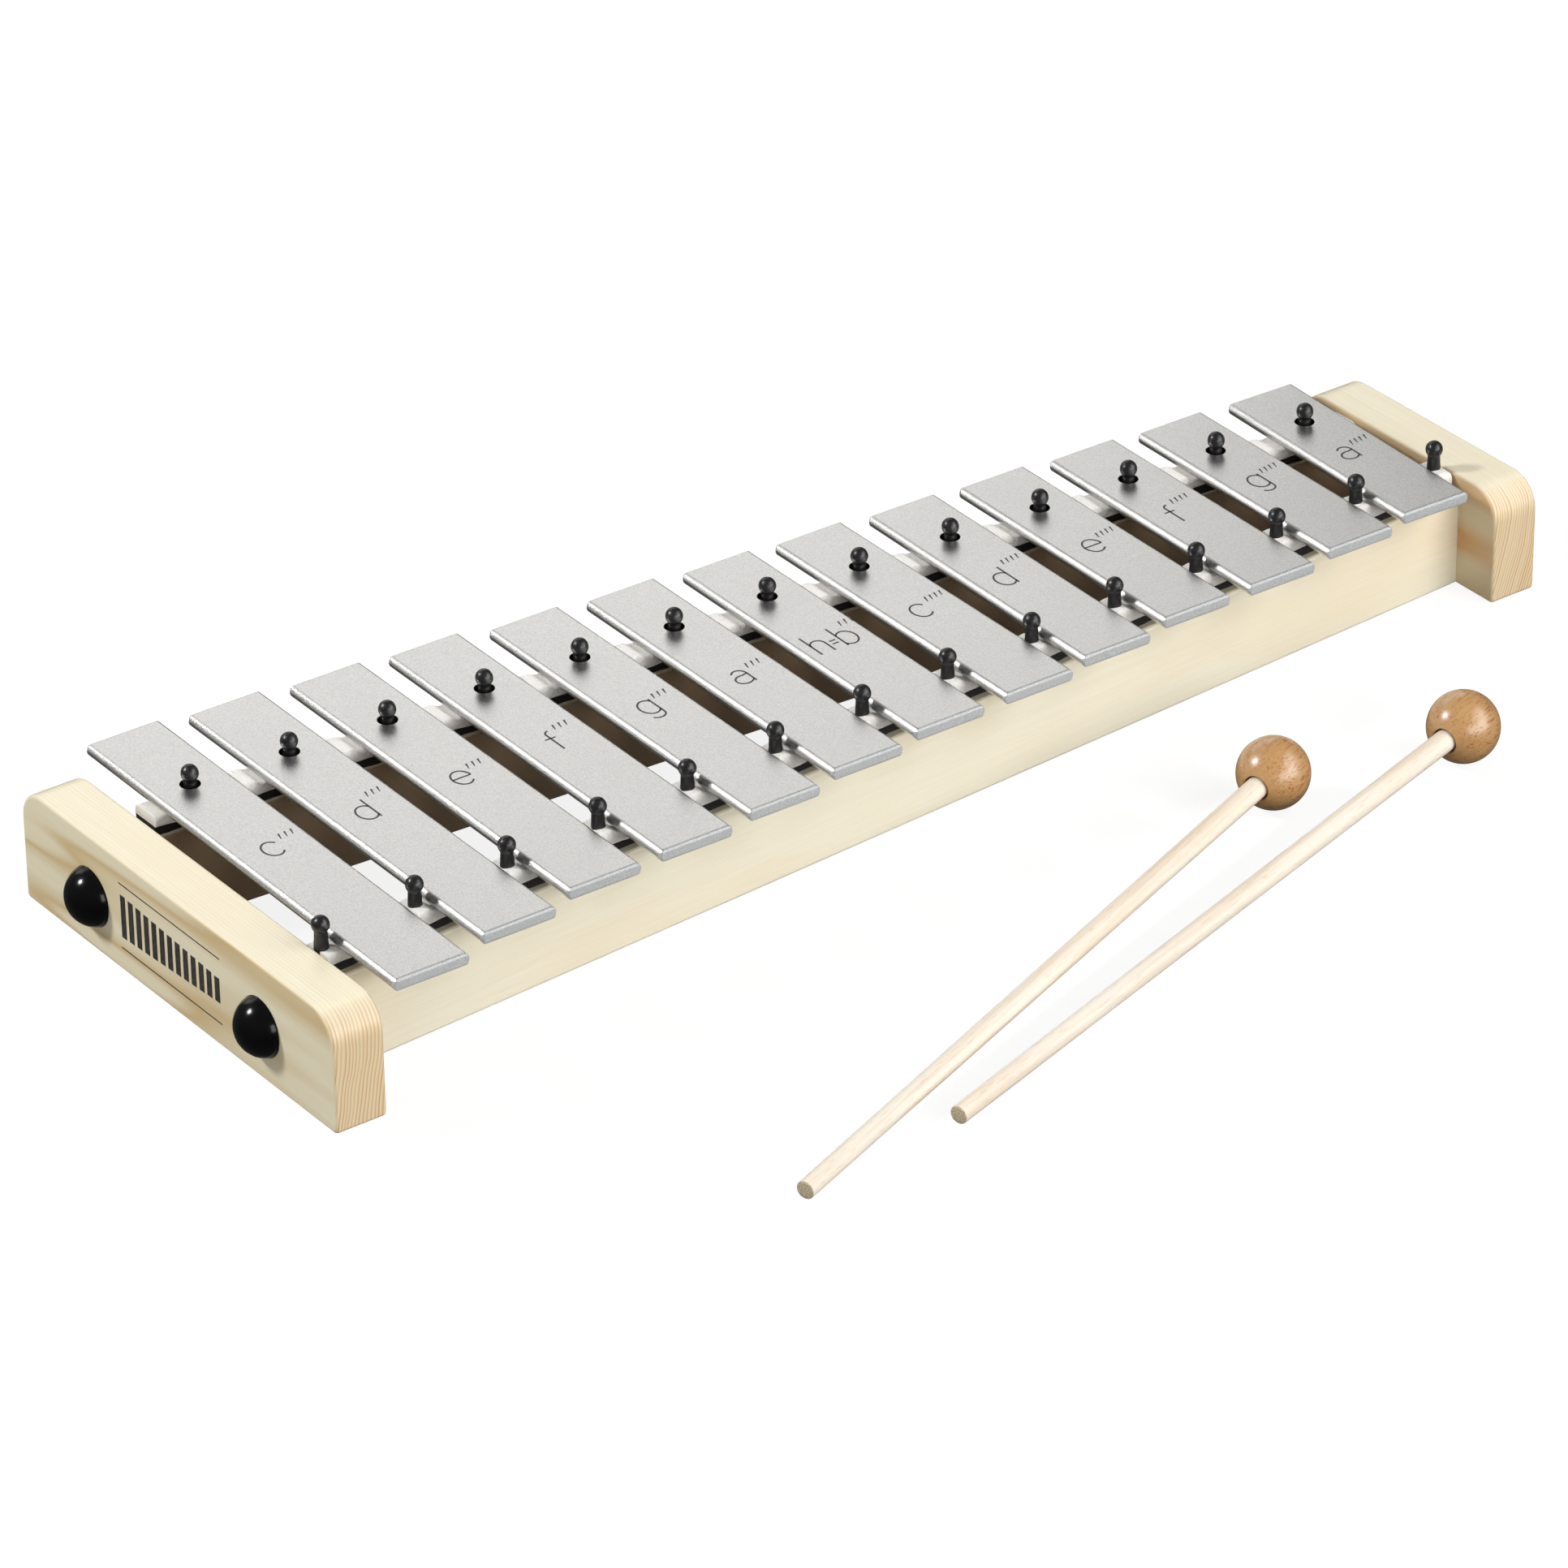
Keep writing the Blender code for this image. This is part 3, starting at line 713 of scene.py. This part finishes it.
def make_rail(name, side, line, material):
    """A rail between the end blocks; its faces keep their distance from the line of pins."""
    low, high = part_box(name)
    if side < 0:
        outer, inner = line(low.x) - low.y, high.y - line(high.x)
    else:
        outer, inner = high.y - line(low.x), line(high.x) - low.y
    start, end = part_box("low_end_block")[1].x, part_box("high_end_block")[0].x
    middle = side * (outer - inner) / 2
    outline = rounded_rectangle((outer + inner) / 2, (high.z - low.z) / 2, RAIL_EDGE, 5)

    def section(x):
        return [(line(x) + middle + y, z + (high.z + low.z) / 2) for y, z in outline]

    piece(sweep((start, end), section), name + "_wood", material, "frame", "pine_rail", name)


def felt_swell():
    """How far the felt rises at x: it is pressed flat under each bar and swells in the gaps between."""
    gaps = [centre(f"front_pin_{number:02d}").x for number in range(2, 15)]

    def swell(x):
        return FELT_SWELL * sum(math.exp(-((x - gap) / FELT_SWELL_REACH) ** 4) for gap in gaps)
    return swell


def strip_section(line, half_width, bottom, top, edge, unevenness, seed, swell=None):
    """The outline of a strip, with its upper edges rounded and its surface a little uneven."""
    outline = rounded_rectangle(half_width, (top - bottom) / 2, STRIP_FOOT_EDGE, 4, edge)
    halfway = [((a[0] + b[0]) / 2, (a[1] + b[1]) / 2) for a, b in zip(outline, outline[1:] + outline[:1])]
    outline = [point for pair in zip(outline, halfway) for point in pair]

    def section(x):
        rise = swell(x) if swell else 0.0
        points = []
        for y, z in outline:
            where = Vector((x * 180, y * 420, z * 420 + seed))
            wobble = unevenness * noise.noise(where)
            share = (z / (top - bottom) + 0.5) ** 2
            points.append((line(x) + y + wobble, (top + bottom) / 2 + z + min(wobble, 0.0) + rise * share))
        return points
    return section


STRIP_JOINT_DROP = 0.25 * MM         # the pressed felt sags below its nominal underside
BACKING_SET_BACK = 0.25 * MM
STRIP_FOOT_EDGE = 0.15 * MM
STRIP_UNEVENNESS = 0.3 * MM
STRIP_STATIONS = 560
FELT_EDGE = 1.1 * MM
FELT_CLEARANCE = 0.05 * MM           # to the bars' undersides
FELT_SWELL = 0.9 * MM                # between the bars
FELT_SWELL_REACH = 2.1 * MM          # each way from the middle of a gap


def make_strips(felt, backing):
    felt_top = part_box("bar_c3")[0].z - FELT_CLEARANCE
    swell = felt_swell()
    for row, line in (("front", FRONT_LINE), ("rear", REAR_LINE)):
        node = row + "_felt_strip"
        low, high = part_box(node)
        slope = abs(line(high.x) - line(low.x))
        half_width = (high.y - low.y - slope) / 2
        joint = low.z - STRIP_JOINT_DROP
        rail_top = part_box(row + "_rail")[1].z
        stations = np.linspace(low.x, high.x, STRIP_STATIONS)
        section = strip_section(line, half_width, joint, felt_top, FELT_EDGE, STRIP_UNEVENNESS, 3.0, swell)
        piece(sweep(stations, section), row + "_felt", felt, "frame", "felt", node)
        node = row + "_backing_strip"
        section = strip_section(line, half_width - BACKING_SET_BACK, rail_top, joint,
                                STRIP_FOOT_EDGE, STRIP_UNEVENNESS, 9.0)
        piece(sweep(stations, section), row + "_backing", backing, "frame", "backing", node)


def make_end_block(name, material):
    low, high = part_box(name)
    mid = (low + high) / 2
    thickness, width, height = high - low
    bm = bmesh.new()
    steps = roll(BLOCK_EDGE, 6)
    levels = [(thickness / 2 - d, i) for d, i in steps]
    levels += [(d - thickness / 2, i) for d, i in reversed(steps)]
    rings = []
    for x, inset in levels:
        outline = rounded_rectangle(width / 2 - inset, height / 2 - inset, BLOCK_FOOT_CORNER,
                                    14, BLOCK_CORNER - inset)
        rings.append([bm.verts.new((mid.x + x, mid.y + y, mid.z + z)) for y, z in outline])
    for a, b in zip(rings, rings[1:]):
        ring_faces(bm, a, b)
    bm.faces.new(rings[0])
    bm.faces.new(list(reversed(rings[-1])))
    piece(bm, name + "_wood", material, "frame", "pine_block", name)


# the printed device, in mm: heights are above the floor, its middle is off the block's middle
DEVICE_OFFSET = 1.9
DEVICE_MIDDLE = 14.2
DEVICE_PITCH = 3.1
DEVICE_STROKE = 2.0
DEVICE_HALF_HEIGHT = 5.4            # of the first stroke
DEVICE_FALL = 0.19                  # each stroke is this much shorter than the one before
DEVICE_RULES = (22.4, 6.0)
DEVICE_HALF_LENGTH = 20.0
DEVICE_RULE_WIDTH = 0.32


def make_ornament(black):
    """A plain printed device on the low end: thirteen strokes, ever shorter, between two rules."""
    low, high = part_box("low_end_block")
    bm = bmesh.new()
    count = len(NOTES)
    for k in range(count):
        x = (k - (count - 1) / 2) * DEVICE_PITCH
        half = DEVICE_HALF_HEIGHT - DEVICE_FALL * k
        ribbon(bm, [(x, DEVICE_MIDDLE - half), (x, DEVICE_MIDDLE + half)], DEVICE_STROKE, DEVICE_STROKE)
    for z in DEVICE_RULES:
        ribbon(bm, [(-DEVICE_HALF_LENGTH, z), (DEVICE_HALF_LENGTH, z)], DEVICE_RULE_WIDTH, DEVICE_RULE_WIDTH)
    facing = Matrix(((0, 0, -1), (-1, 0, 0), (0, 1, 0))).to_4x4()
    place = Matrix.Translation((low.x, (low.y + high.y) / 2 + DEVICE_OFFSET * MM, 0)) @ facing
    bmesh.ops.transform(bm, matrix=place, verts=bm.verts)
    piece(bm, "low_end_ornament", black, "frame", "cap_gloss", smooth=False)


# ------------------------------------------------------------------------------------------------
# pins, caps and mallets
# ------------------------------------------------------------------------------------------------
BALL_RADIUS = 2.08 * MM
NECK_RADIUS = 1.50 * MM
PIN_RADIUS = 1.58 * MM
PIN_FOOT_RADIUS = 1.75 * MM
SEAM_HEIGHT = 0.035                 # the mould line, as a share of the radius
SEAM_WIDTH = 0.10                   # in radians


def pin_profile(height):
    """From the foot on the rail, z = 0, up to the top of the ball."""
    ball = height - BALL_RADIUS
    angle = -math.degrees(math.acos(NECK_RADIUS / BALL_RADIUS))
    body = [
        (0.0, 0.0), (PIN_FOOT_RADIUS, 0.0), (PIN_FOOT_RADIUS, 3.0 * MM), (PIN_FOOT_RADIUS * 0.98, 4.6 * MM),
        (PIN_RADIUS, ball - 4.0 * MM), (NECK_RADIUS, ball - 2.2 * MM),
    ]
    return body + arc(0.0, ball, BALL_RADIUS, angle, 90, 18)


def pin_shape(angle, height):
    """The two mould lines and the unevenness of a cheap moulding."""
    seam = 0.0
    for where in (0.0, math.pi):
        apart = math.remainder(angle - where, 2 * math.pi)
        seam += SEAM_HEIGHT * math.exp(-(apart / SEAM_WIDTH) ** 2)
    lump = noise.noise(Vector((math.cos(angle) * 1.3, math.sin(angle) * 1.3, height * 450)))
    return 1.0 + seam * 0.6 + 0.022 * lump - 0.02


def make_pins(rubber):
    rail_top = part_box("front_rail")[1].z
    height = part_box("front_pin_01")[1].z - rail_top
    bm = lathe(pin_profile(height), 40, pin_shape)
    bmesh.ops.recalc_face_normals(bm, faces=bm.faces)
    mesh = bpy.data.meshes.new("ball_pin")
    bm.to_mesh(mesh)
    bm.free()
    turn = 0.0
    for row, count in (("front", 14), ("rear", 13)):
        for number in range(1, count + 1):
            node = f"{row}_pin_{number:02d}"
            turn += 2.4
            place = Matrix.Translation((centre(node).x, centre(node).y, rail_top))
            matrix = place @ Matrix.Rotation(turn, 4, "Z")
            mesh_piece(mesh, node + "_rubber", rubber, "frame", "pin_rubber", node, matrix=matrix)


def cap_profile(radius, height):
    sphere = (radius ** 2 + height ** 2) / (2 * height)
    rim = math.degrees(math.asin((sphere - height) / sphere))
    return [(0.0, 0.0), (radius - 0.25 * MM, 0.0), (radius, 0.2 * MM)] + arc(
        0.0, height - sphere, sphere, rim + 2.5, 90, 22)


def make_caps(gloss):
    for end, side in (("low", -1), ("high", 1)):
        for row in ("front", "rear"):
            node = f"{end}_{row}_screw_cap"
            low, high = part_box(node)
            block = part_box(end + "_end_block")
            seat = block[0].x if side < 0 else block[1].x
            height = abs((low.x if side < 0 else high.x) - seat)
            place = Matrix.Translation((seat, (low.y + high.y) / 2, (low.z + high.z) / 2))
            outward = Matrix.Rotation(side * math.pi / 2, 4, "Y")
            bm = lathe(cap_profile((high.z - low.z) / 2, height), 64)
            piece(bm, f"{end}_{row}_dome", gloss, "frame", "cap_gloss", node, matrix=place @ outward)


STICK_CLEARANCE = 0.38 * MM
BORE_CLEARANCE = 0.1 * MM            # past the stick's tip
BORE_LIP = 0.35 * MM
TAIL_EDGE = 0.35 * MM
TAIL_TRIM = 0.2 * MM


def stick_line(node):
    """The middles of a stick's tail and tip, from the stick's own points."""
    points = np.unique(np.round(vertices(node), 7), axis=0)
    middle = points.mean(0)
    along = (points - middle) @ np.linalg.svd(points - middle, full_matrices=False)[2][0]
    ends = [points[along < along.min() + 3 * MM].mean(0), points[along > along.max() - 3 * MM].mean(0)]
    return sorted((Vector(end) for end in ends), key=lambda end: end.z)


def make_mallet(number, seed):
    head, stick, body = f"mallet_{number}_head", f"mallet_{number}_stick", f"mallet_{number}"
    middle = centre(head)
    radius = middle.z               # the ball rests on the floor
    tail_end, tip_end = stick_line(stick)
    axis = (tip_end - tail_end).normalized()
    lie = Matrix.Translation(middle) @ axis.to_track_quat("Z", "Y").to_matrix().to_4x4()
    points = vertices(stick) - np.array(middle)
    along = points @ np.array(axis)
    off_axis = np.linalg.norm(points - np.outer(along, np.array(axis)), axis=1)
    tail, tip = float(along.min()) + TAIL_TRIM, float(along.max())
    tail_radius = float(off_axis[along < tail + 1 * MM].max())
    tip_radius = float(off_axis[along > tip - 1 * MM].max())

    profile = [(0.0, tail)]
    for a in np.linspace(0, math.pi / 2, 5):
        profile.append((tail_radius - TAIL_EDGE * (1 - math.sin(a)), tail + TAIL_EDGE * (1 - math.cos(a))))
    for t in np.linspace(0.02, 1.0, 30):
        profile.append((tail_radius + (tip_radius - tail_radius) * t, tail + (tip - tail) * t))
    profile.append((0.0, tip))
    bm = lathe(profile, 40)
    bmesh.ops.transform(bm, matrix=lie, verts=bm.verts)
    piece(bm, stick + "_wood", beech_rod(stick + "_beech", lie, seed, -tail), body, "beech_stick", stick)

    bore = tip_radius + STICK_CLEARANCE
    mouth = -math.degrees(math.acos((bore + BORE_LIP) / radius))
    lip = radius * math.sin(math.radians(mouth)) + BORE_LIP
    floor_of_bore = tip + BORE_CLEARANCE
    profile = [(0.0, floor_of_bore), (bore, floor_of_bore), (bore, lip), (bore + 0.10 * MM, lip - 0.2 * MM)]
    profile += arc(0.0, 0.0, radius, mouth, 90, 48)
    bm = lathe(profile, 72)
    bmesh.ops.transform(bm, matrix=lie, verts=bm.verts)
    piece(bm, head + "_wood", beech_ball(head + "_beech", lie, seed, radius), body, "beech_head", head)


# ------------------------------------------------------------------------------------------------
# studio: floor, light and camera
# ------------------------------------------------------------------------------------------------
FLOOR_DROP = 0.05 * MM              # keeps the floor clear of the undersides
FLOOR_REACH = 6.0
FLOOR_GLOW = 0.86                   # a white sweep lit from below
WALL_RADIUS = 5.5
WALL_HEIGHT = 5.0
WALL_GLOW = 0.95


def make_backdrop(name, bm, height, grey, glow):
    """White paper that is lit apart from the set and throws no light back on it."""
    mesh = bpy.data.meshes.new(name)
    bm.to_mesh(mesh)
    bm.free()
    f = Finish("white_" + name, 0.9)
    paper = f.noise(f.place, 40, 2.0)
    f.colour(f.ramp(paper, (0.3, srgb(grey, grey, grey)), (0.7, srgb(grey + 4, grey + 4, grey + 4))))
    f.shader.inputs["Specular IOR Level"].default_value = 0.1
    f.shader.inputs["Emission Color"].default_value = (1.0, 1.0, 1.0, 1.0)
    f.shader.inputs["Emission Strength"].default_value = glow
    mesh.materials.append(f.material)
    backdrop = bpy.data.objects.new(name, mesh)
    backdrop.location.z = height
    backdrop.visible_diffuse = False
    backdrop.visible_glossy = False
    bpy.context.scene.collection.objects.link(backdrop)
    return backdrop


def make_floor():
    bm = bmesh.new()
    bmesh.ops.create_grid(bm, x_segments=1, y_segments=1, size=FLOOR_REACH)
    make_backdrop("floor", bm, -FLOOR_DROP, 118, FLOOR_GLOW)


def make_wall():
    """The round wall that the floor ends in, seen only in level views."""
    bm = bmesh.new()
    bmesh.ops.create_cone(bm, segments=96, radius1=WALL_RADIUS, radius2=WALL_RADIUS, depth=WALL_HEIGHT)
    wall = make_backdrop("wall", bm, WALL_HEIGHT / 2 - FLOOR_DROP, 60, WALL_GLOW)
    wall.visible_shadow = False


def softbox(name, direction, distance, width, height, radiance):
    """A plain rectangular light that faces the middle of the instrument."""
    lamp = bpy.data.lights.new(name, "AREA")
    lamp.shape = "RECTANGLE"
    lamp.size = width
    lamp.size_y = height
    lamp.energy = radiance * math.pi * width * height
    obj = bpy.data.objects.new(name, lamp)
    bpy.context.scene.collection.objects.link(obj)
    towards = Vector(direction).normalized()
    obj.location = Vector(LIGHTS_TARGET) + towards * distance
    obj.rotation_euler = towards.to_track_quat("Z", "Y").to_euler()
    return obj


SKY_HEIGHTS = (-0.3, 0.5)           # the sines of the elevations where the sky starts and ends brightening
SKY_STRENGTHS = (0.08, 0.17)
SKY_COLOUR = (1.0, 0.99, 0.97, 1.0)
LIGHTS_TARGET = (0.0, 0.04, 0.02)


def make_lights():
    softbox("key_back_left", (-0.64, 0.46, 0.61), 1.6, 0.24, 0.24, 82.0)
    softbox("fill_front_right", (0.50, -0.60, 0.62), 1.6, 1.2, 1.0, 3.1)
    softbox("card_front", (0.20, -0.94, 0.27), 1.8, 2.2, 0.8, 4.6)
    softbox("card_left", (-0.90, -0.35, 0.22), 1.8, 1.6, 0.7, 2.7).visible_glossy = False
    softbox("panel_back", (0.235, 0.838, 0.48), 2.0, 2.0, 1.0, 1.26)
    world = bpy.data.worlds.new("studio")
    world.use_nodes = True
    nodes, links = world.node_tree.nodes, world.node_tree.links
    parts = nodes.new("ShaderNodeSeparateXYZ")
    height = nodes.new("ShaderNodeMapRange")
    for socket, value in zip(("From Min", "From Max", "To Min", "To Max"), SKY_HEIGHTS + SKY_STRENGTHS):
        height.inputs[socket].default_value = value
    links.new(nodes.new("ShaderNodeTexCoord").outputs["Generated"], parts.inputs["Vector"])
    links.new(parts.outputs["Z"], height.inputs["Value"])
    links.new(height.outputs["Result"], nodes["Background"].inputs["Strength"])
    nodes["Background"].inputs["Color"].default_value = SKY_COLOUR
    bpy.context.scene.world = world
    bpy.context.scene.view_settings.view_transform = "Standard"


CAMERA_HEADING = -36.142            # degrees about Z from looking along +Y
CAMERA_HEIGHT = 30.174              # degrees above the floor
CAMERA_ROLL = -0.698
CAMERA_DISTANCE = 1.8363
CAMERA_TARGET = (-0.0084, 0.04784, 0.0)
CAMERA_LENS = 185.74
CAMERA_SHIFT = (-0.0022, -0.0169)


def make_camera():
    heading, height = math.radians(CAMERA_HEADING), math.radians(CAMERA_HEIGHT)
    back = Vector((math.sin(heading), -math.cos(heading), 0.0)) * math.cos(height)
    back.z = math.sin(height)
    right = Vector((math.cos(heading), math.sin(heading), 0.0))
    up = back.cross(right)
    level = Matrix((right, up, back)).transposed()
    lens = bpy.data.cameras.new("camera")
    lens.lens = CAMERA_LENS
    lens.sensor_width = 36.0
    lens.shift_x, lens.shift_y = CAMERA_SHIFT
    lens.clip_end = 50.0
    camera = bpy.data.objects.new("camera", lens)
    bpy.context.scene.collection.objects.link(camera)
    place = Matrix.Translation(Vector(CAMERA_TARGET) + back * CAMERA_DISTANCE)
    camera.matrix_world = place @ (level @ Matrix.Rotation(math.radians(CAMERA_ROLL), 3, "Z")).to_4x4()
    bpy.context.scene.camera = camera


# ------------------------------------------------------------------------------------------------
# putting it together
# ------------------------------------------------------------------------------------------------
def build():
    make_camera()
    paint = silver_paint("silver_paint", (196, 195, 193), (232, 231, 228), 0.34)
    # painted shade: the bars' end faces take a darker, duller copy of the silver paint
    shaded_end_paint = silver_paint("silver_with_painted_shade_on_ends", (168, 170, 171), (203, 205, 205), 0.5, 0.15)
    # painted shade: the wall of each bar's hole is painted near black
    bore = silver_paint("hole_wall_painted_dark_as_shade", (34, 33, 32), (60, 58, 56), 0.6)
    make_bars(paint, shaded_end_paint, bore, ink("name_ink", (42, 34, 36), (80, 68, 72), 1800))
    low_wood = block_pine("pine_low_block", 1, (-0.290, 0.024), 0.00092, 1.0, 0.0, 0.9, (212, 184, 132))
    high_wood = block_pine("pine_high_block", -1, (0.085, 0.030), 0.00078, 1.0, 0.4, 0.85, (206, 150, 84))
    make_end_block("low_end_block", low_wood)
    make_end_block("high_end_block", high_wood)
    make_rail("front_rail", -1, FRONT_LINE, rail_pine("pine_front_rail", FRONT_LINE, 1))
    make_rail("rear_rail", 1, REAR_LINE, rail_pine("pine_rear_rail", REAR_LINE, -1))
    make_strips(wool_felt(), black_backing())
    make_pins(black_rubber())
    gloss = gloss_black()
    make_caps(gloss)
    make_ornament(ink("block_ink", (46, 42, 40), (74, 70, 66), 1200))
    make_mallet(1, 0.0)
    make_mallet(2, 0.07)
    steel = plain_steel()
    for node, obj in NODES.items():
        if node.endswith("_screw"):
            obj.data.materials.clear()
            obj.data.materials.append(steel)
    make_floor()
    make_wall()
    make_lights()


build()

bpy.context.view_layer.update()
